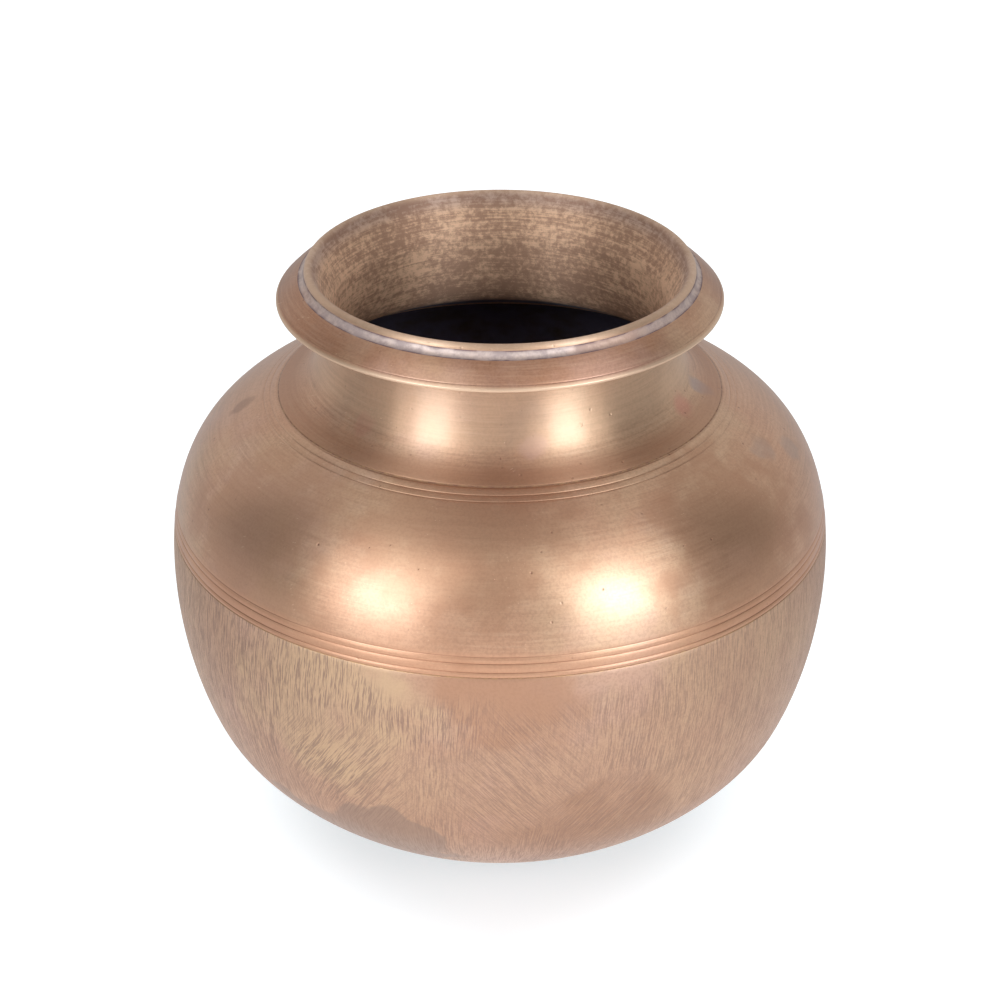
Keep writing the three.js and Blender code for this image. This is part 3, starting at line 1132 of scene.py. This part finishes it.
# %% [markdown]
# ## Filed brass
#
# The bowl has the same metal under a coat of file strokes. Most strokes run down the wall.
# Across the front, and lower down on both sides of it, the hand held the file aslant, so two
# more sets of strokes have places of their own. Under the seam, at the front, the bowl was
# turned clean with the shoulder, so the strokes fade out there.
#
# Under the strokes lie a golden patch and two browner ones, which are painted shade, low on the
# right and under the seam at the front. A grey-brown stain lies over them, low on the left. The
# strokes were worked deepest on the left side.

# %% Filed brass
STEEP, LEANING_LEFT, LEANING_RIGHT = math.radians(4), math.radians(-38), math.radians(36)
bowl_patches_and_shade = [
    (62, -32, 32, GILT),
    # Painted shade: darker patches low on the right and under the seam at the front.
    (101, 20, 28, CHESTNUT),
    (53, 0, 24, TAN),
]


def bowl_mark(bench, run, bearing, reach, tear):
    """A mark on the bowl, at a distance along the wall and a reach that are in millimetres."""
    return bench.group(place_mark, "Mark", Centre=on_wall(body, run * MM, bearing),
                       Reach=reach * MM, Tear=tear)


def lay_strokes(bench):
    """How deep the cuts are, and how high the ridges, where the three sets of strokes meet."""
    front = bowl_mark(bench, 74, 4, 27, 30.0)
    low = bench.math("MAXIMUM", bowl_mark(bench, 90, 22, 19, 30.0),
                     bowl_mark(bench, 84, -26, 22, 30.0))
    clean = bench.math("MULTIPLY", bowl_mark(bench, 50, 2, 46, 20.0), 20 * MM)
    ragged = bench.math("MULTIPLY", bench.noise(bench.place(), 40.0, 2.0), clean)
    below = bench.math("SUBTRACT", bench.math("SUBTRACT", bench.along_wall(), seam_run), ragged)
    filed = bench.ramp(below, -7 * MM, 1 * MM)
    laid = []
    for effect in ("Cut", "Ridge"):
        total = bench.group(file_cuts, effect, Slant=STEEP)
        for slant, where in ((LEANING_LEFT, front), (LEANING_RIGHT, low)):
            total = bench.blend(where, total, bench.group(file_cuts, effect, Slant=slant))
        laid.append(bench.math("MULTIPLY", total, filed))
    return laid


def filed_finish(name):
    material, bench, shader = new_finish(name)
    colour, bloom = aged_brass(bench, BOWL_BROWN)
    cut, ridge = lay_strokes(bench)
    lower = bench.ramp(bench.along_wall(), 66 * MM, 104 * MM, 0.0, 0.35)
    colour = bench.mix(lower, colour, TAN)
    # A golden patch, and two patches of painted shade.
    for run, bearing, reach, tint in bowl_patches_and_shade:
        patch = bowl_mark(bench, run, bearing, reach, 60.0)
        colour = bench.over(colour, tint, patch, 0.6)
    colour = bench.mix(bench.math("MULTIPLY", ridge, 2.0, clamp=True), colour, GOLDEN)
    depth = bench.ramp(bowl_mark(bench, 62, -50, 60, 30.0), 0.0, 1.0, 0.5, 0.75)
    colour = bench.over(colour, STROKE, cut, depth)
    stain = bench.ramp(bowl_mark(bench, 113, -30, 30, 45.0), 0.3, 0.5, 0.0, 0.65)
    colour = bench.mix(stain, colour, GREY_STAIN)
    colour = bench.over(colour, DIRT_AND_SHADE, bench.note("grime"), 0.8)
    rough = bench.math("ADD", 0.40, bench.math("MULTIPLY", cut, 0.1))
    rough = bench.math("ADD", rough, bench.math("MULTIPLY", bloom["Dull"], 0.08))
    # Painted shade on the bowl's inside.
    colour, rough = paint_inside_shade(bench, colour, rough)
    bench.plug(shader.inputs["Base Color"], colour)
    bench.plug(shader.inputs["Roughness"], rough)
    swell = bench.noise(bench.place(), 30.0, 1.0)
    bump(bench, shader, (swell, 0.35 * MM), (ridge, 0.11 * MM))
    return material


give(filed_bowl, filed_finish("filed_brass"))

# %% [markdown]
# ## Solder and spelter
#
# Soft solder goes a warm grey, with darker wipe marks and a dirty line at both edges. Spelter
# is a yellower brass than the pot. It was filed flush while it was bright, so it keeps a fine
# speckle of scratches and some dirt.

# %% Solder and spelter
def solder_finish():
    material, bench, shader = new_finish("wiped_solder")
    blotch = bench.ramp(bench.noise(bench.place(), 260.0, 4.0, 0.7), 0.35, 0.65)
    colour = bench.mix(blotch, LEAD, DULL_LEAD)
    stain = bench.ramp(bench.noise(bench.place(), 35.0, 3.0), 0.5, 0.7)
    colour = bench.over(colour, BROWN, stain, 0.45)
    ragged = bench.math("MULTIPLY", bench.note("grime"), bench.ramp(
        bench.noise(bench.place(), 240.0, 2.0), 0.3, 0.6, 0.3, 1.3), clamp=True)
    colour = bench.mix(ragged, colour, LEAD_DIRT)
    bench.plug(shader.inputs["Base Color"], colour)
    bench.plug(shader.inputs["Roughness"], bench.ramp(blotch, 0.0, 1.0, 0.5, 0.65))
    grain = bench.noise(bench.place(), 900.0, 2.0)
    bump(bench, shader, (blotch, 0.02 * MM), (grain, 0.03 * MM))
    return material


def spelter_finish():
    material, bench, shader = new_finish("filed_spelter")
    speck = bench.noise(bench.place(), 700.0, 4.0, 0.7)
    colour = bench.mix(bench.ramp(speck, 0.4, 0.7), SPELTER, BROWN)
    dirt = bench.math("MULTIPLY", bench.note("grime"), bench.ramp(speck, 0.3, 0.7, 0.5, 0.9))
    colour = bench.mix(dirt, colour, DIRT_AND_SHADE)
    bench.plug(shader.inputs["Base Color"], colour)
    bench.plug(shader.inputs["Roughness"], bench.ramp(speck, 0.3, 0.7, 0.34, 0.5))
    bump(bench, shader, (speck, 0.02 * MM))
    return material


give(solder_ring, solder_finish())
spelter = spelter_finish()
give(belly_film, spelter)
give(neck_film, spelter)

# %% [markdown]
# ## Floor
#
# Metal shows its surroundings, so the room matters as much as the finish. The floor is a wide
# pale sweep. Brass throws warm light down on it, and a white floor should stay white, so it
# takes a little blue from a glow of its own. To the camera that glow is even but for the
# pot's shade, as it is when a backdrop is lit by itself. What the pot mirrors is dimmer at
# the sides and behind, which draws its edges.

# %% Floor
FLOOR_SIZE = 40.0
FLOOR_TINT = (0.70, 0.55, 0.50, 1)
SHADOW_GLOW = (0.36, 0.50, 0.55, 1)
OPEN_GLOW = (0.60, 0.76, 0.82, 1)
MIRRORED_GLOW = (0.46, 0.60, 0.66, 1)
DIM_GLOW = (0.04, 0.16, 0.21, 1)


def stage_floor():
    deselect_all()
    bpy.ops.mesh.primitive_plane_add(size=FLOOR_SIZE, location=(0, 0, lowest.z))
    floor = bpy.context.active_object
    floor.name = floor.data.name = "floor"
    material, bench, shader = new_finish("pale_floor")
    shader.inputs["Metallic"].default_value = 0.0
    shader.inputs["Roughness"].default_value = 0.8
    shader.inputs["Base Color"].default_value = FLOOR_TINT
    away = bench.add("ShaderNodeVectorMath", "Value", operation="LENGTH", inputs={
        0: bench.place()})
    place = bench.parts(bench.place())
    aside = bench.math("DIVIDE", bench.math("ABSOLUTE", place[0]), away)
    clear = bench.math("MULTIPLY", away, bench.math("ADD", 1.0, bench.math(
        "MULTIPLY", aside, 0.5)))
    seen = bench.mix(bench.ramp(clear, 58 * MM, 118 * MM), SHADOW_GLOW, OPEN_GLOW)
    behind = bench.math("DIVIDE", place[1], away)
    dim = bench.math("MAXIMUM", bench.ramp(aside, 0.5, 0.9), bench.ramp(behind, -0.2, 0.4))
    dim = bench.math("MULTIPLY", dim, bench.ramp(away, 70 * MM, 200 * MM))
    mirrored = bench.mix(dim, MIRRORED_GLOW, DIM_GLOW)
    to_camera = bench.add("ShaderNodeLightPath", "Is Camera Ray")
    bench.plug(shader.inputs["Emission Color"], bench.mix(to_camera, mirrored, seen))
    shader.inputs["Emission Strength"].default_value = 1.0
    floor.data.materials.append(material)
    print("floor at", round(lowest.z / MM, 2), "mm, the pot's resting face")


stage_floor()

# %% [markdown]
# ## Lights and room
#
# A tall soft box stands on each side of the camera, with a bright, cooler core that makes the
# two highlights on the belly and the neck. The boxes are given by the angles that they fill
# when seen from the pot, because that is what a mirror keeps. The room is pale in front and
# behind, darker at the two sides, and dimmer straight overhead.

# %% Lights and room
BOX_DISTANCE = 1.2
POT_MIDDLE = Vector((0, 0, 80 * MM))
CORE_COLOUR = (0.69, 0.86, 1)


def soft_box(name, bearing, elevation, glow, colour=(1, 1, 1)):
    """A lit panel that faces the pot. It fills a span of bearing, counted to the right of the
    camera, and a span of elevation, both in degrees, with an even glow."""
    turn, lift = math.radians(sum(bearing) / 2), math.radians(sum(elevation) / 2)
    way = Vector((math.sin(turn) * math.cos(lift), -math.cos(turn) * math.cos(lift),
                  math.sin(lift)))
    half_width = math.tan(math.radians(abs(bearing[1] - bearing[0]) / 2)) * math.cos(lift)
    half_height = math.tan(math.radians(abs(elevation[1] - elevation[0]) / 2))
    data = bpy.data.lights.new(name, "AREA")
    data.shape = "RECTANGLE"
    data.size, data.size_y = 2 * BOX_DISTANCE * half_width, 2 * BOX_DISTANCE * half_height
    data.energy = glow * math.pi * data.size * data.size_y
    data.color = colour
    light = bpy.data.objects.new(name, data)
    light.location = POT_MIDDLE + way * BOX_DISTANCE
    light.rotation_mode = "QUATERNION"
    light.rotation_quaternion = (-way).to_track_quat("-Z", "Y")
    bpy.context.scene.collection.objects.link(light)


def pale_room(front, back, side, top):
    """A room whose brightness depends on the way one looks: round the horizon, or up."""
    world = bpy.data.worlds.new("room")
    world.use_nodes = True
    bench = Bench(world.node_tree)
    background = world.node_tree.nodes["Background"]
    x, y, z = bench.parts(bench.add("ShaderNodeTexCoord", "Generated"))
    level = bench.math("SQRT", bench.math("ADD", bench.math("MULTIPLY", x, x),
                                          bench.math("MULTIPLY", y, y)))
    sideways = bench.ramp(bench.math("DIVIDE", bench.math("ABSOLUTE", x), level), 0.84, 0.98)
    sideways = bench.math("MULTIPLY", sideways, bench.ramp(z, 0.85, 0.7))
    glow = bench.ramp(y, -0.3, 0.3, front, back)
    for share, value in ((sideways, side), (bench.ramp(z, 0.92, 0.99), top)):
        glow = bench.blend(share, glow, value)
    bench.plug(background.inputs["Strength"], glow)
    background.inputs["Color"].default_value = (1, 1, 1, 1)
    bpy.context.scene.world = world


for hand, side, core in ((-1, "left", 4.5), (1, "right", 5.2)):
    soft_box(side + "_core", (30 * hand, 51 * hand), (8, 36), core, CORE_COLOUR)
    soft_box(side + "_box", (20 * hand, 68 * hand), (0, 60), 1.15)
pale_room(front=0.68, back=0.7, side=0.25, top=0.42)
bpy.context.scene.view_settings.view_transform = "Standard"
